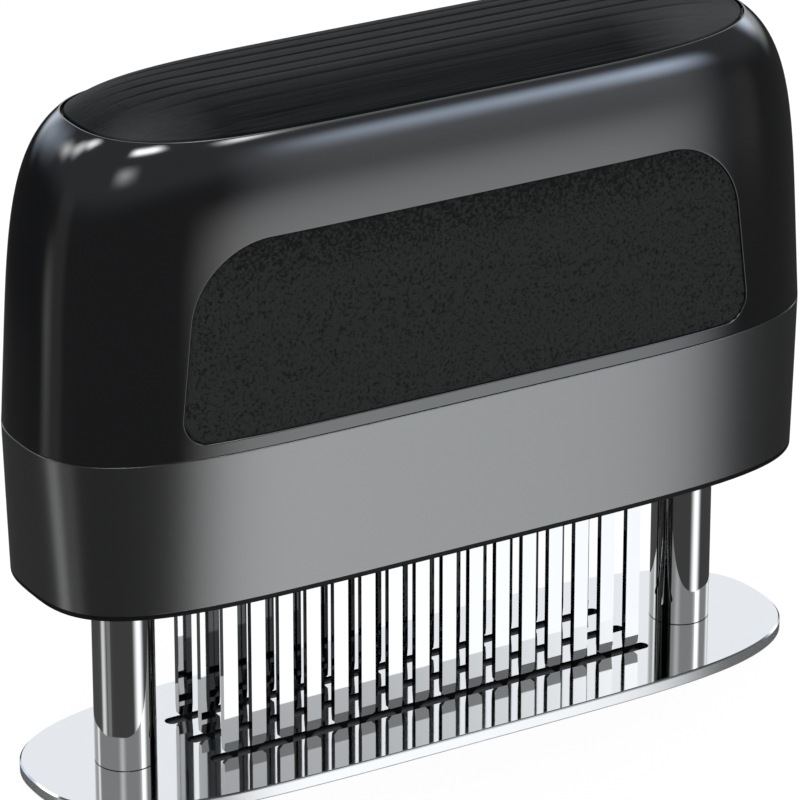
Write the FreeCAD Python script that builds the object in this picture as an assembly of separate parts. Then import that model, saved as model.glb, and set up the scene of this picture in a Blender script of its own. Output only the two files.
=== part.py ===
import FreeCAD, Part
import math
import os

# Blade meat tenderizer: a slotted base plate carries two posts, and a sprung handle slides down them
# to push three rows of blades through the slots.
# Millimetres. Origin under the middle of the base plate, +X along the length, +Y to the rear, +Z up.
# The handle is drawn at the top of its travel, where the springs hold it.

# Overall size: the housing is longest and widest at its seam, and the sizes below step in from there
housing_half_length = 76.5
housing_half_width = 23.24

# Base plate: a superellipse outline, |x / half length|^end power + |y / half width|^side power = 1
plate_end_step = 1.1
plate_side_step = 0.64
plate_end_power = 4.8
plate_side_power = 2.45
plate_thickness = 2.4
plate_chamfer = 0.3

# Blades and the slots they run in
slot_end_distance = 31.3
slot_width = 2.6
blade_count = 16
blade_end_distance = 3.8
blade_width = 2.8
blade_thickness = 1.25
blade_row_spacing = 8.37
blade_tip_height = 0.9
blade_bevel_length = 4.3
blade_edge_thickness = 0.2

# Guide posts, and the handle's way down to where the spring guides' heads meet them
post_end_distance = 19.0
post_radius = 5.47
press_travel = 30.0
press_stop_gap = 0.4
post_bore_radius = 4.2
post_foot_height = 9.6
post_top_chamfer = 0.4
post_foot_chamfer = 0.12

# Lower half of the housing: a metal band round a moulded frame
housing_gap = 35.5
band_height = 28.6
band_end_taper = 1.47
band_side_taper = 0.62
band_bottom_side_power = 3.0
band_top_side_power = 2.55
band_end_power = 5.2
band_wall = 1.2
band_chamfer = 0.3
lip_height = 1.0
lip_round = 0.5
lip_round_steps = 4
frame_wall = 2.2
frame_floor = 3.0
spigot_height = 4.0
spigot_wall = 1.6

# Upper half of the housing: the grip shell
seam_gap = 0.2
seam_step = 0.08
shell_wall = 2.8
shell_end_power = 5.4
shell_length_draft = 0.055
shell_width_draft = 0.035
shell_height = 58.9
end_round_depth = 45.8
end_round_power = 3.6
end_round_root = 10.0
side_round_depth = 33.1
side_round_power = 4.9
side_round_root = 3.5
crown_rise = 4.8
rim_width = 0.2
deck_thickness = 2.2
rib_spacing = 36.0
rib_thickness = 2.0
rib_half_width = 13.0

# Top grip insert
insert_depth = 2.0
insert_gap = 0.6
insert_top_margin = 0.15
flute_count = 9
flute_pitch = 3.3
flute_offset = -2.1
flute_width = 0.6
flute_depth = 0.25
flute_end_margin = 9.0

# Grip panels, front and rear
panel_above_seam = 2.4
panel_height = 34.5
panel_end_distance = 19.9
panel_end_taper = 4.0
panel_bottom_corner = 4.5
panel_top_corner = 15.0
panel_recess = 0.5
panel_thickness = 1.1
panel_gap = 0.15

# Guide bushes and the rings that stop them
bush_running_clearance = 0.05
bush_wall = 2.1
bush_flange_radius = 9.6
bush_flange_thickness = 1.6
boss_wall = 1.9
ring_stop_gap = 0.3
ring_below_post_top = 3.7
ring_thickness = 1.0
ring_groove_radius = 4.9
ring_outer_radius = 7.4
ring_opening_angle = 50.0

# Springs and their guides
spring_wire_radius = 0.45
spring_mean_radius = 3.3
spring_coils = 30
spring_end_gap = 0.1
guide_head_radius = 6.5
guide_head_thickness = 2.0
guide_rod_radius = 2.4
guide_rod_length = 28.0
guide_socket_wall = 1.8
guide_socket_depth = 3.0

# Blade carrier and the pins that cross it, one through the three blades of each column
carrier_end_margin = 0.3
carrier_side_margin = 2.83
carrier_height = 17.1
carrier_roof = 3.5
pin_radius = 0.6
pin_height = 9.0

# Screws: nominal thread radius, head radius, length
post_screw_radius = 2.0
post_screw_head_radius = 3.8
post_screw_length = 9.0
small_screw_radius = 1.5
small_screw_head_radius = 2.5
small_screw_length = 14.0
head_sink = 0.1
socket_depth = 1.1
carrier_screw_columns = 6
housing_screw_end_distance = 40.5
screw_post_radius = 2.6
screw_post_gap = 0.3

# Clearance of pieces that are pushed or screwed together
assembly_clearance = 0.05

OUTLINE_POINTS = 60
UP = FreeCAD.Vector(0, 0, 1)

# Lengths and widths that follow from the sizes above
plate_half_length = housing_half_length - plate_end_step
plate_half_width = housing_half_width - plate_side_step
band_bottom_half_length = housing_half_length - band_end_taper
band_bottom_half_width = housing_half_width - band_side_taper
panel_bottom_half_length = housing_half_length - panel_end_distance
panel_top_half_length = panel_bottom_half_length - panel_end_taper
slot_half_length = housing_half_length - slot_end_distance
blade_pitch = 2 * (slot_half_length - blade_end_distance) / (blade_count - 1)
carrier_half_length = slot_half_length + carrier_end_margin
carrier_half_width = blade_row_spacing + carrier_side_margin
carrier_screw_x = carrier_screw_columns * blade_pitch
carrier_screw_y = blade_row_spacing / 2
housing_screw_x = housing_half_length - housing_screw_end_distance
housing_screw_y = carrier_half_width + screw_post_radius + screw_post_gap
post_x = housing_half_length - post_end_distance
post_places = {"left": -post_x, "right": post_x}
row_places = {"front": -blade_row_spacing, "middle": 0.0, "rear": blade_row_spacing}
bush_outer_radius = post_radius + bush_running_clearance + bush_wall

# Heights that follow from the sizes above
lip_bottom = plate_thickness + housing_gap
band_bottom = lip_bottom + lip_height
seam_height = lip_bottom + band_height
shell_bottom = seam_height + seam_gap
crown_height = seam_height + shell_height
rim_height = crown_height - crown_rise
panel_bottom = seam_height + panel_above_seam
panel_top = panel_bottom + panel_height
floor_top = lip_bottom + frame_floor
post_floor = plate_thickness + post_foot_height
insert_bottom = rim_height - insert_depth
deck_bottom = insert_bottom - deck_thickness
guide_seat = deck_bottom - guide_head_thickness
post_top = guide_seat - press_travel - press_stop_gap
ring_bottom = post_top - ring_below_post_top
bush_top = ring_bottom - ring_stop_gap
carrier_top = floor_top + carrier_height


def superellipse(half_length, half_width, end_power, side_power, height, inset):
    """Closed wire of a superellipse at a height, moved inwards by inset along its normal."""
    points = []
    for step in range(OUTLINE_POINTS):
        angle = 2 * math.pi * step / OUTLINE_POINTS
        along = math.cos(angle)
        across = math.sin(angle)
        x = math.copysign(half_length * abs(along) ** (2 / end_power), along)
        y = math.copysign(half_width * abs(across) ** (2 / side_power), across)
        normal_x = math.copysign(end_power * abs(x / half_length) ** (end_power - 1) / half_length, x)
        normal_y = math.copysign(side_power * abs(y / half_width) ** (side_power - 1) / half_width, y)
        steepness = math.hypot(normal_x, normal_y)
        x -= inset * normal_x / steepness
        y -= inset * normal_y / steepness
        points.append(FreeCAD.Vector(x, y, height))
    curve = Part.BSplineCurve()
    curve.interpolate(Points=points, PeriodicFlag=True, Parameters=outline_parameters())
    return Part.Wire(curve.toShape())


def outline_parameters():
    """Knots shared by all outlines, spaced as the base plate's own points are, so that lofts stay light."""
    knots = [0.0]
    last = FreeCAD.Vector(plate_half_length, 0, 0)
    for step in range(1, OUTLINE_POINTS + 1):
        angle = 2 * math.pi * step / OUTLINE_POINTS
        along = math.cos(angle)
        across = math.sin(angle)
        x = math.copysign(plate_half_length * abs(along) ** (2 / plate_end_power), along)
        y = math.copysign(plate_half_width * abs(across) ** (2 / plate_side_power), across)
        point = FreeCAD.Vector(x, y, 0)
        knots.append(knots[-1] + point.distanceToPoint(last))
        last = point
    return knots


def plate_outline(height, inset=0.0):
    return superellipse(
        plate_half_length, plate_half_width, plate_end_power, plate_side_power, height, inset
    )


def band_outline(height, inset=0.0):
    """The housing's lower half widens evenly from the lip to the seam."""
    share = (height - lip_bottom) / band_height
    half_length = band_bottom_half_length + share * band_end_taper
    half_width = band_bottom_half_width + share * band_side_taper
    side_power = band_bottom_side_power + share * (band_top_side_power - band_bottom_side_power)
    return superellipse(half_length, half_width, band_end_power, side_power, height, inset)


def rounding(height, depth, power, root):
    """Share of the full size that is left at a height, as the shell rounds over up to its crown."""
    rise = max(0.0, height - crown_height + depth) / depth
    return (1 - rise ** power) ** (1 / root)


def shell_outline(height, inset=0.0):
    """The housing's upper half narrows a little with height, and then rounds over to the crown."""
    above_seam = height - seam_height
    half_length = housing_half_length - seam_step - shell_length_draft * above_seam
    half_width = housing_half_width - seam_step - shell_width_draft * above_seam
    half_length *= rounding(height, end_round_depth, end_round_power, end_round_root)
    half_width *= rounding(height, side_round_depth, side_round_power, side_round_root)
    return superellipse(half_length, half_width, shell_end_power, band_top_side_power, height, inset)


def levels(low, high, count):
    """Heights from low to high, closer together towards the top, where the shell curves most."""
    return [low + (high - low) * math.sin(math.pi / 2 * step / (count - 1)) for step in range(count)]


def loft(outlines, ruled=False):
    return Part.makeLoft(outlines, True, ruled)


def cylinder(x, y, low, high, radius):
    return Part.makeCylinder(radius, high - low, FreeCAD.Vector(x, y, low), UP)


def cone(x, y, low, high, low_radius, high_radius):
    return Part.makeCone(low_radius, high_radius, high - low, FreeCAD.Vector(x, y, low), UP)


def block(half_length, half_width, low, high, x=0.0, y=0.0):
    corner = FreeCAD.Vector(x - half_length, y - half_width, low)
    return Part.makeBox(2 * half_length, 2 * half_width, high - low, corner)


def long_slot(half_length, width, low, high, y):
    """Cutter for a slot along X with round ends."""
    radius = width / 2
    centre = half_length - radius
    cutter = block(centre, radius, low, high, 0.0, y)
    cutter = cutter.fuse(cylinder(-centre, y, low, high, radius))
    return cutter.fuse(cylinder(centre, y, low, high, radius))


def rounded_polygon(corners, radii):
    """Closed wire through corners in one plane, each corner rounded by its own radius."""
    edges = []
    starts = []
    ends = []
    arcs = []
    count = len(corners)
    for i in range(count):
        corner = corners[i]
        back = (corners[i - 1] - corner).normalize()
        ahead = (corners[(i + 1) % count] - corner).normalize()
        half_angle = back.getAngle(ahead) / 2
        run = radii[i] / math.tan(half_angle)
        middle = (back + ahead).normalize()
        depth = radii[i] / math.sin(half_angle) - radii[i]
        starts.append(corner + back * run)
        ends.append(corner + ahead * run)
        arcs.append(corner + middle * depth)
    for i in range(count):
        edges.append(Part.Arc(starts[i], arcs[i], ends[i]).toShape())
        edges.append(Part.LineSegment(ends[i], starts[(i + 1) % count]).toShape())
    return Part.Wire(edges)


def countersink(x, y, face, screw_radius, head_radius):
    """Cutter under a face that looks down: a clearance hole with a 90 degree countersink."""
    clearance = assembly_clearance
    depth = head_radius - screw_radius
    hole = cylinder(x, y, face, face + frame_floor + clearance, screw_radius + clearance)
    seat = cone(x, y, face, face + head_sink + depth, head_radius + head_sink + clearance,
                screw_radius + clearance)
    return hole.fuse(seat)


def screw(x, y, face, screw_radius, head_radius, length):
    """Countersunk screw that points up, its flat head just inside a face that looks down."""
    head_bottom = face + head_sink
    head_top = head_bottom + head_radius - screw_radius
    body = cone(x, y, head_bottom, head_top, head_radius, screw_radius)
    body = body.fuse(cylinder(x, y, head_top, face + length, screw_radius))
    socket = Part.makePolygon(hexagon(x, y, head_bottom, screw_radius * 0.75))
    return body.cut(Part.Face(socket).extrude(UP * socket_depth)).removeSplitter()


def hexagon(x, y, height, radius):
    points = []
    for corner in range(7):
        angle = math.radians(60 * corner)
        points.append(FreeCAD.Vector(x + radius * math.cos(angle), y + radius * math.sin(angle), height))
    return points


def mirrored_places(x, y):
    return [(-x, -y), (x, -y), (x, y), (-x, y)]


# Stand


def base_plate():
    top = plate_thickness
    chamfer = plate_chamfer
    plate = loft(
        [
            plate_outline(0.0, chamfer),
            plate_outline(chamfer),
            plate_outline(top - chamfer),
            plate_outline(top, chamfer),
        ],
        ruled=True,
    )
    for y in row_places.values():
        plate = plate.cut(long_slot(slot_half_length, slot_width, 0.0, top, y))
    for x in post_places.values():
        plate = plate.cut(countersink(x, 0.0, 0.0, post_screw_radius, post_screw_head_radius))
    return plate


def post(x):
    """Bored from the top for the spring, tapped from below for its screw, and grooved for the ring."""
    foot = plate_thickness + post_foot_chamfer
    shoulder = post_top - post_top_chamfer
    body = cylinder(x, 0.0, foot, shoulder, post_radius)
    body = body.fuse(cone(x, 0.0, plate_thickness, foot, post_radius - post_foot_chamfer, post_radius))
    body = body.fuse(cone(x, 0.0, shoulder, post_top, post_radius, post_radius - post_top_chamfer))
    body = body.cut(cylinder(x, 0.0, post_floor, post_top, post_bore_radius))
    thread_end = post_screw_length + assembly_clearance
    body = body.cut(cylinder(x, 0.0, plate_thickness, thread_end, post_screw_radius + assembly_clearance))
    groove_bottom = ring_bottom - assembly_clearance
    groove_top = ring_bottom + ring_thickness + assembly_clearance
    groove = cylinder(x, 0.0, groove_bottom, groove_top, post_radius)
    groove = groove.cut(cylinder(x, 0.0, groove_bottom, groove_top, ring_groove_radius))
    return body.cut(groove).removeSplitter()


def post_screws():
    screws = []
    for x in post_places.values():
        screws.append(screw(x, 0.0, 0.0, post_screw_radius, post_screw_head_radius, post_screw_length))
    return Part.makeCompound(screws)


def retaining_ring(x):
    """Open ring in the post's groove. The bush's flange comes up against it."""
    top = ring_bottom + ring_thickness
    ring = cylinder(x, 0.0, ring_bottom, top, ring_outer_radius)
    ring = ring.cut(cylinder(x, 0.0, ring_bottom, top, ring_groove_radius + assembly_clearance))
    half_angle = math.radians(ring_opening_angle / 2)
    reach = 2 * ring_outer_radius
    points = [
        FreeCAD.Vector(x, 0.0, ring_bottom),
        FreeCAD.Vector(x + reach * math.sin(half_angle), reach * math.cos(half_angle), ring_bottom),
        FreeCAD.Vector(x - reach * math.sin(half_angle), reach * math.cos(half_angle), ring_bottom),
        FreeCAD.Vector(x, 0.0, ring_bottom),
    ]
    opening = Part.Face(Part.makePolygon(points)).extrude(UP * ring_thickness)
    return ring.cut(opening)


def spring(x):
    """Round wire wound round the guide's rod, from the post's floor to the guide's head."""
    low = post_floor + spring_end_gap + spring_wire_radius
    high = guide_seat - spring_end_gap - spring_wire_radius
    pitch = (high - low) / spring_coils
    path = Part.Wire(Part.makeHelix(pitch, high - low, spring_mean_radius))
    start = FreeCAD.Vector(spring_mean_radius, 0, 0)
    wire = Part.Wire(Part.makeCircle(spring_wire_radius, start, FreeCAD.Vector(0, 1, 0)))
    coil = path.makePipeShell([wire], True, True)
    coil.translate(FreeCAD.Vector(x, 0, low))
    return coil


# Press handle


def shell_body(inset, low, high, count):
    return loft([shell_outline(height, inset) for height in levels(low, high, count)])


def panel_prism(gap, side):
    """Upright rounded shape of a grip panel, run outwards from the middle of the shell."""
    low = panel_bottom + gap
    high = panel_top - gap
    corners = [
        FreeCAD.Vector(-panel_bottom_half_length + gap, 0, low),
        FreeCAD.Vector(panel_bottom_half_length - gap, 0, low),
        FreeCAD.Vector(panel_top_half_length - gap, 0, high),
        FreeCAD.Vector(-panel_top_half_length + gap, 0, high),
    ]
    radii = [panel_bottom_corner, panel_bottom_corner, panel_top_corner, panel_top_corner]
    reach = side * 2 * housing_half_width
    return Part.Face(rounded_polygon(corners, radii)).extrude(FreeCAD.Vector(0, reach, 0))


def screw_post(x, y):
    """Long tube under the shell's deck that a housing screw is driven into."""
    tube = cylinder(x, y, floor_top, deck_bottom, screw_post_radius)
    hole_top = lip_bottom + small_screw_length + assembly_clearance
    return tube.cut(cylinder(x, y, floor_top, hole_top, small_screw_radius + assembly_clearance))


def guide_socket(x):
    """Short ring under the shell's deck that holds a spring guide's head."""
    inner = guide_head_radius + assembly_clearance
    low = deck_bottom - guide_socket_depth
    ring = cylinder(x, 0.0, low, deck_bottom, inner + guide_socket_wall)
    return ring.cut(cylinder(x, 0.0, low, deck_bottom, inner))


def upper_shell():
    shell = shell_body(0.0, shell_bottom, rim_height, 13)
    shell = shell.cut(shell_body(shell_wall, shell_bottom, deck_bottom, 12))
    seat = Part.Face(shell_outline(rim_height, rim_width))
    shell = shell.cut(seat.extrude(-UP * insert_depth))
    pocket_floor = shell_body(panel_recess + panel_thickness, shell_bottom, deck_bottom, 12)
    for side in (-1, 1):
        shell = shell.cut(panel_prism(0.0, side).cut(pocket_floor))
    inside = []
    for x, y in mirrored_places(housing_screw_x, housing_screw_y):
        inside.append(screw_post(x, y))
    for x in post_places.values():
        inside.append(guide_socket(x))
    for x in (-rib_spacing / 2, rib_spacing / 2):
        inside.append(block(rib_thickness / 2, rib_half_width, carrier_top, deck_bottom, x))
    return shell.multiFuse(inside).removeSplitter()


def insert_crown(lowering):
    """Crown of the grip insert, as high as the shell's own curve, or a little lower everywhere."""
    inset = rim_width + insert_gap + lowering
    top = crown_height - insert_top_margin - lowering
    return shell_body(inset, rim_height, top, 9)


def flute_walls():
    """Thin upright walls along X, one where each flute of the grip insert runs."""
    half_length = housing_half_length - flute_end_margin
    walls = []
    for index in range(flute_count):
        y = flute_offset + flute_pitch * (index - (flute_count - 1) / 2)
        walls.append(block(half_length, flute_width / 2, rim_height, crown_height, 0.0, y))
    return walls


def top_grip_insert():
    """Soft cap that sits in the shell's seat, carries on the shell's crown, and has shallow flutes along it."""
    outline = shell_outline(rim_height, rim_width + insert_gap)
    plug = Part.Face(outline).extrude(-UP * insert_depth)
    crown = insert_crown(0.0)
    flutes = Part.makeCompound(flute_walls()).cut(insert_crown(flute_depth))
    return plug.fuse(crown.cut(flutes)).removeSplitter()


def grip_panel(side):
    face = shell_body(panel_recess, shell_bottom, deck_bottom, 12)
    back = shell_body(panel_recess + panel_thickness, shell_bottom, deck_bottom, 12)
    return panel_prism(panel_gap, side).common(face).cut(back)


def lower_band():
    edge = seam_height - band_chamfer
    band = loft([band_outline(height) for height in (band_bottom, (band_bottom + edge) / 2, edge)])
    band = band.fuse(loft([band_outline(edge), band_outline(seam_height, band_chamfer)], ruled=True))
    middle = (band_bottom + seam_height) / 2
    inside = loft([band_outline(height, band_wall) for height in (band_bottom, middle, seam_height)])
    return band.cut(inside).removeSplitter()


def frame_wall_body(inset, low, high):
    middle = (low + high) / 2
    return loft([band_outline(height, inset) for height in (low, middle, high)])


def frame_boss(x):
    """Tall tube on the frame's floor that a guide bush is pushed into."""
    inner = bush_outer_radius + assembly_clearance
    return cylinder(x, 0.0, lip_bottom, bush_top - bush_flange_thickness, inner + boss_wall)


def lower_frame():
    lip_outlines = []
    for step in range(lip_round_steps + 1):
        turn = math.pi / 2 * step / lip_round_steps
        height = lip_bottom + lip_round * (1 - math.cos(turn))
        lip_outlines.append(band_outline(height, lip_round * (1 - math.sin(turn))))
    lip_outlines.append(band_outline(band_bottom))
    lip = loft(lip_outlines, ruled=True)
    outer_inset = band_wall + assembly_clearance
    wall = frame_wall_body(outer_inset, band_bottom, seam_height)
    inner_inset = outer_inset + frame_wall
    wall = wall.cut(frame_wall_body(inner_inset, floor_top, seam_height))
    spigot_outline = shell_outline(shell_bottom, shell_wall + assembly_clearance)
    spigot_hollow = shell_outline(shell_bottom, shell_wall + assembly_clearance + spigot_wall)
    spigot = Part.Face(spigot_outline).extrude(UP * spigot_height)
    spigot = spigot.cut(Part.Face(spigot_hollow).extrude(UP * spigot_height))
    foot = spigot.copy()
    foot.translate(FreeCAD.Vector(0, 0, -spigot_height))
    frame = lip.multiFuse([wall, spigot, foot] + [frame_boss(x) for x in post_places.values()])
    for y in row_places.values():
        frame = frame.cut(long_slot(slot_half_length, slot_width, lip_bottom, floor_top, y))
    for x in post_places.values():
        bore = bush_outer_radius + assembly_clearance
        frame = frame.cut(cylinder(x, 0.0, lip_bottom, bush_top, bore))
    places = mirrored_places(carrier_screw_x, carrier_screw_y)
    places += mirrored_places(housing_screw_x, housing_screw_y)
    for x, y in places:
        frame = frame.cut(countersink(x, y, lip_bottom, small_screw_radius, small_screw_head_radius))
    return frame.removeSplitter()


def guide_bush(x):
    """Sleeve that slides on a post, flanged at the top where it seats on the frame's boss."""
    flange_bottom = bush_top - bush_flange_thickness
    bush = cylinder(x, 0.0, lip_bottom, flange_bottom, bush_outer_radius)
    bush = bush.fuse(cylinder(x, 0.0, flange_bottom, bush_top, bush_flange_radius))
    bore = post_radius + bush_running_clearance
    return bush.cut(cylinder(x, 0.0, lip_bottom, bush_top, bore)).removeSplitter()


def spring_guide(x):
    """Pin with a wide head. The head seats under the shell's deck, and the rod hangs inside the spring."""
    rod_bottom = guide_seat - guide_rod_length
    tip = guide_rod_radius / 2
    guide = cylinder(x, 0.0, guide_seat, deck_bottom, guide_head_radius)
    guide = guide.fuse(cylinder(x, 0.0, rod_bottom + tip, guide_seat, guide_rod_radius))
    guide = guide.fuse(cone(x, 0.0, rod_bottom, rod_bottom + tip, guide_rod_radius - tip, guide_rod_radius))
    return guide.removeSplitter()


def blade_places():
    first = -blade_pitch * (blade_count - 1) / 2
    return [first + blade_pitch * index for index in range(blade_count)]


def blade(x, y, point_side):
    """Flat strip, cut at 45 degrees to a point on one side, and ground thin from both faces at the tip."""
    half = blade_width / 2
    half_thickness = blade_thickness / 2
    top = carrier_top - carrier_roof - assembly_clearance
    shoulder = blade_tip_height + blade_width
    profile = Part.makePolygon(
        [
            FreeCAD.Vector(x + point_side * half, y - half_thickness, blade_tip_height),
            FreeCAD.Vector(x + point_side * half, y - half_thickness, top),
            FreeCAD.Vector(x - point_side * half, y - half_thickness, top),
            FreeCAD.Vector(x - point_side * half, y - half_thickness, shoulder),
            FreeCAD.Vector(x + point_side * half, y - half_thickness, blade_tip_height),
        ]
    )
    strip = Part.Face(profile).extrude(FreeCAD.Vector(0, blade_thickness, 0))
    strip = strip.cut([blade_bevel(x, y, -1), blade_bevel(x, y, 1)])
    return strip.cut(pin_cylinder(x, pin_radius + assembly_clearance))


def blade_bevel(x, y, side):
    """Wedge that the grinding takes off one face, front (-1) or rear (1), next to the tip."""
    face = y + side * blade_thickness / 2
    edge = y + side * blade_edge_thickness / 2
    corners = [
        FreeCAD.Vector(x - blade_width, edge, blade_tip_height),
        FreeCAD.Vector(x - blade_width, face, blade_tip_height + blade_bevel_length),
        FreeCAD.Vector(x - blade_width, face, blade_tip_height),
    ]
    wedge = Part.Face(Part.makePolygon(corners + corners[:1]))
    return wedge.extrude(FreeCAD.Vector(2 * blade_width, 0, 0))


def pin_cylinder(x, radius):
    """Cylinder across the carrier, through the three blades of one column."""
    start = FreeCAD.Vector(x, -carrier_half_width, floor_top + pin_height)
    return Part.makeCylinder(radius, 2 * carrier_half_width, start, FreeCAD.Vector(0, 1, 0))


def blade_pins():
    return Part.makeCompound([pin_cylinder(x, pin_radius) for x in blade_places()])


def blade_row(y):
    """The blades of a row point left and right in turn."""
    blades = []
    for index, x in enumerate(blade_places()):
        point_side = 1 if index % 2 == 0 else -1
        blades.append(blade(x, y, point_side))
    return Part.makeCompound(blades)


def blade_carrier():
    carrier = block(carrier_half_length, carrier_half_width, floor_top, carrier_top)
    cutters = []
    for y in row_places.values():
        for x in blade_places():
            half_length = blade_width / 2 + assembly_clearance
            half_width = blade_thickness / 2 + assembly_clearance
            cutters.append(block(half_length, half_width, floor_top, carrier_top - carrier_roof, x, y))
    for x in blade_places():
        cutters.append(pin_cylinder(x, pin_radius + assembly_clearance))
    hole_top = lip_bottom + small_screw_length + assembly_clearance
    for x, y in mirrored_places(carrier_screw_x, carrier_screw_y):
        cutters.append(cylinder(x, y, floor_top, hole_top, small_screw_radius + assembly_clearance))
    return carrier.cut(cutters)


def small_screws(x, y):
    screws = []
    for place_x, place_y in mirrored_places(x, y):
        screws.append(
            screw(place_x, place_y, lip_bottom, small_screw_radius, small_screw_head_radius, small_screw_length)
        )
    return Part.makeCompound(screws)


def all_pieces():
    pieces = {"base_plate": base_plate(), "post_screws": post_screws()}
    for side, x in post_places.items():
        pieces[side + "_post"] = post(x)
        pieces[side + "_retaining_ring"] = retaining_ring(x)
        pieces[side + "_spring"] = spring(x)
        pieces[side + "_guide_bush"] = guide_bush(x)
        pieces[side + "_spring_guide"] = spring_guide(x)
    for name, y in row_places.items():
        pieces[name + "_blade_row"] = blade_row(y)
    pieces["blade_pins"] = blade_pins()
    pieces["upper_shell"] = upper_shell()
    pieces["top_grip_insert"] = top_grip_insert()
    pieces["front_grip_panel"] = grip_panel(-1)
    pieces["rear_grip_panel"] = grip_panel(1)
    pieces["lower_band"] = lower_band()
    pieces["lower_frame"] = lower_frame()
    pieces["blade_carrier"] = blade_carrier()
    pieces["carrier_screws"] = small_screws(carrier_screw_x, carrier_screw_y)
    pieces["housing_screws"] = small_screws(housing_screw_x, housing_screw_y)
    return pieces


os.makedirs("parts", exist_ok=True)
for name, shape in all_pieces().items():
    shape.exportStep("parts/" + name + ".step")
    print(name, "solids", len(shape.Solids), "volume", round(shape.Volume, 1), "valid", shape.isValid())
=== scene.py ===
import math

import bmesh
import bpy
import numpy as np
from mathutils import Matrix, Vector, noise


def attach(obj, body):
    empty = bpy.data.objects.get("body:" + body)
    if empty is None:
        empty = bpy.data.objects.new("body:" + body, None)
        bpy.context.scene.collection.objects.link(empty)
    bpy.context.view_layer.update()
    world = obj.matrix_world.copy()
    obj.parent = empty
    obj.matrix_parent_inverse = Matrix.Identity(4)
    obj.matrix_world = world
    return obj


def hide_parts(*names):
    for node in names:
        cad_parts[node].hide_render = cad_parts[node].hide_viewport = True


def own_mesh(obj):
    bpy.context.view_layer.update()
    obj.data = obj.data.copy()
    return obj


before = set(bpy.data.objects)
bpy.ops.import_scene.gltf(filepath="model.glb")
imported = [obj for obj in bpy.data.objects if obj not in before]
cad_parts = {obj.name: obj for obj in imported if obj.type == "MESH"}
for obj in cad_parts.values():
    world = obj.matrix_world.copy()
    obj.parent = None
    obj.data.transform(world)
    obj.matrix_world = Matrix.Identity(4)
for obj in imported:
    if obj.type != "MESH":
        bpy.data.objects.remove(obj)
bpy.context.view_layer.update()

# Blade meat tenderizer. Lengths are millimetres in the part's own frame until a mesh is made:
# origin under the middle of the base plate, +X along the length, +Y to the rear, +Z up.
MM = 0.001

# Sizes that the solids have too
HALF_LENGTH = 76.5
HALF_WIDTH = 23.24
BAND_BOTTOM = 38.9
SEAM_HEIGHT = 66.5
BAND_HEIGHT = 28.6
BAND_END_TAPER = 1.47
BAND_SIDE_TAPER = 0.62
BAND_END_POWER = 5.2
BAND_BOTTOM_SIDE_POWER = 3.0
BAND_TOP_SIDE_POWER = 2.55
BAND_WALL = 1.2
SHELL_STEP = 0.08
SHELL_WALL = 2.8
SHELL_END_POWER = 5.4
SHELL_LENGTH_DRAFT = 0.055
SHELL_WIDTH_DRAFT = 0.035
CROWN_HEIGHT = 125.4
END_ROUND_DEPTH = 45.8
END_ROUND_POWER = 3.6
END_ROUND_ROOT = 10.0
SIDE_ROUND_DEPTH = 33.1
SIDE_ROUND_POWER = 4.9
SIDE_ROUND_ROOT = 3.5
RIM_WIDTH = 0.2
DECK_BOTTOM = 116.4
INSERT_DEPTH = 2.0
INSERT_INSET = 0.8
INSERT_TOP = 125.25
PANEL_BOTTOM = 68.9
PANEL_TOP = 103.4
PANEL_BOTTOM_HALF_LENGTH = 56.6
PANEL_TOP_HALF_LENGTH = 52.6
PANEL_BOTTOM_CORNER = 4.5
PANEL_TOP_CORNER = 15.0
PANEL_DEPTH = 1.6
PLATE_THICKNESS = 2.4
PLATE_CHAMFER = 0.3
SLOT_HALF_LENGTH = 45.2
SLOT_HALF_REACH = 9.67
POST_X = 57.5
POST_FLOOR = 12.0
GUIDE_SEAT = 114.4
SPRING_WIRE_RADIUS = 0.45
SPRING_MEAN_RADIUS = 3.3
SPRING_COILS = 30
SPRING_END_GAP = 0.1

# Finer shapes, which only the visible model has, and three sizes that are a little smaller in it:
# the gap over the seam, the panels' recess and the gap round them
SHELL_BOTTOM = 66.6
PANEL_RECESS = 0.28
PANEL_GAP = 0.05
PANEL_BACK_GAP = 0.02
SHELL_EDGE = 0.08
RIM_MIDDLE_HEIGHT = 120.25
RIM_END_RISE = 1.0
RIM_RISE_POWER = 4.0
RIM_EDGE = 0.08
POCKET_EDGE = 0.2
INSERT_EDGE = 0.35
PANEL_EDGE = 0.05
BAND_EDGE = 0.16
BAND_BOTTOM_EDGE = 0.1
SHARP_STEP = 0.03
FLUTE_PITCH = 3.3
FLUTE_HEIGHT = 0.26
FLUTE_HALF_WIDTH = 0.22
RIDGE_HEIGHT = 0.04
FLUTE_FADE_START = 4.0
FLUTE_FADE_END = 20.0
GRAIN_SIZE = 0.9
GRAIN_HEIGHT = 0.035
GRAIN_FINE_SHARE = 0.6
GRAIN_FINE_SCALE = 2.1
GRAIN_EDGE_FADE = 6

# How finely the meshes are cut
FRONT_STEPS = 200
INSERT_FRONT_STEPS = 400
QUADRANT_STEPS = 3000
SIDE_STEPS = 56
CORNER_POINTS = 60
EDGE_STEPS = 3
WALL_RINGS = 12
PATCH_RINGS = 40
PANEL_RINGS = 36
INSERT_RINGS = 112
COIL_STEPS = 24
WIRE_STEPS = 12

# Where the rings of a face lie: shares of the way in to its middle, or distances out from an edge
CORE_END_SHARE = 0.3
POCKET_FLOOR_SHARES = (1.0, 0.6, 0.25, 0.04)
POCKET_MARGINS = (POCKET_EDGE + SHARP_STEP, 0.32, 0.5, 0.75)
PATCH_EASING = 0.6
PANEL_BACK_SHARES = (0.0, 0.1, 0.5, 1.0)
BAND_FACE_MARGIN = 1.0
INSERT_CORE_SHARE = 0.68
INSERT_SIDE_DEPTH = 1.0

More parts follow.
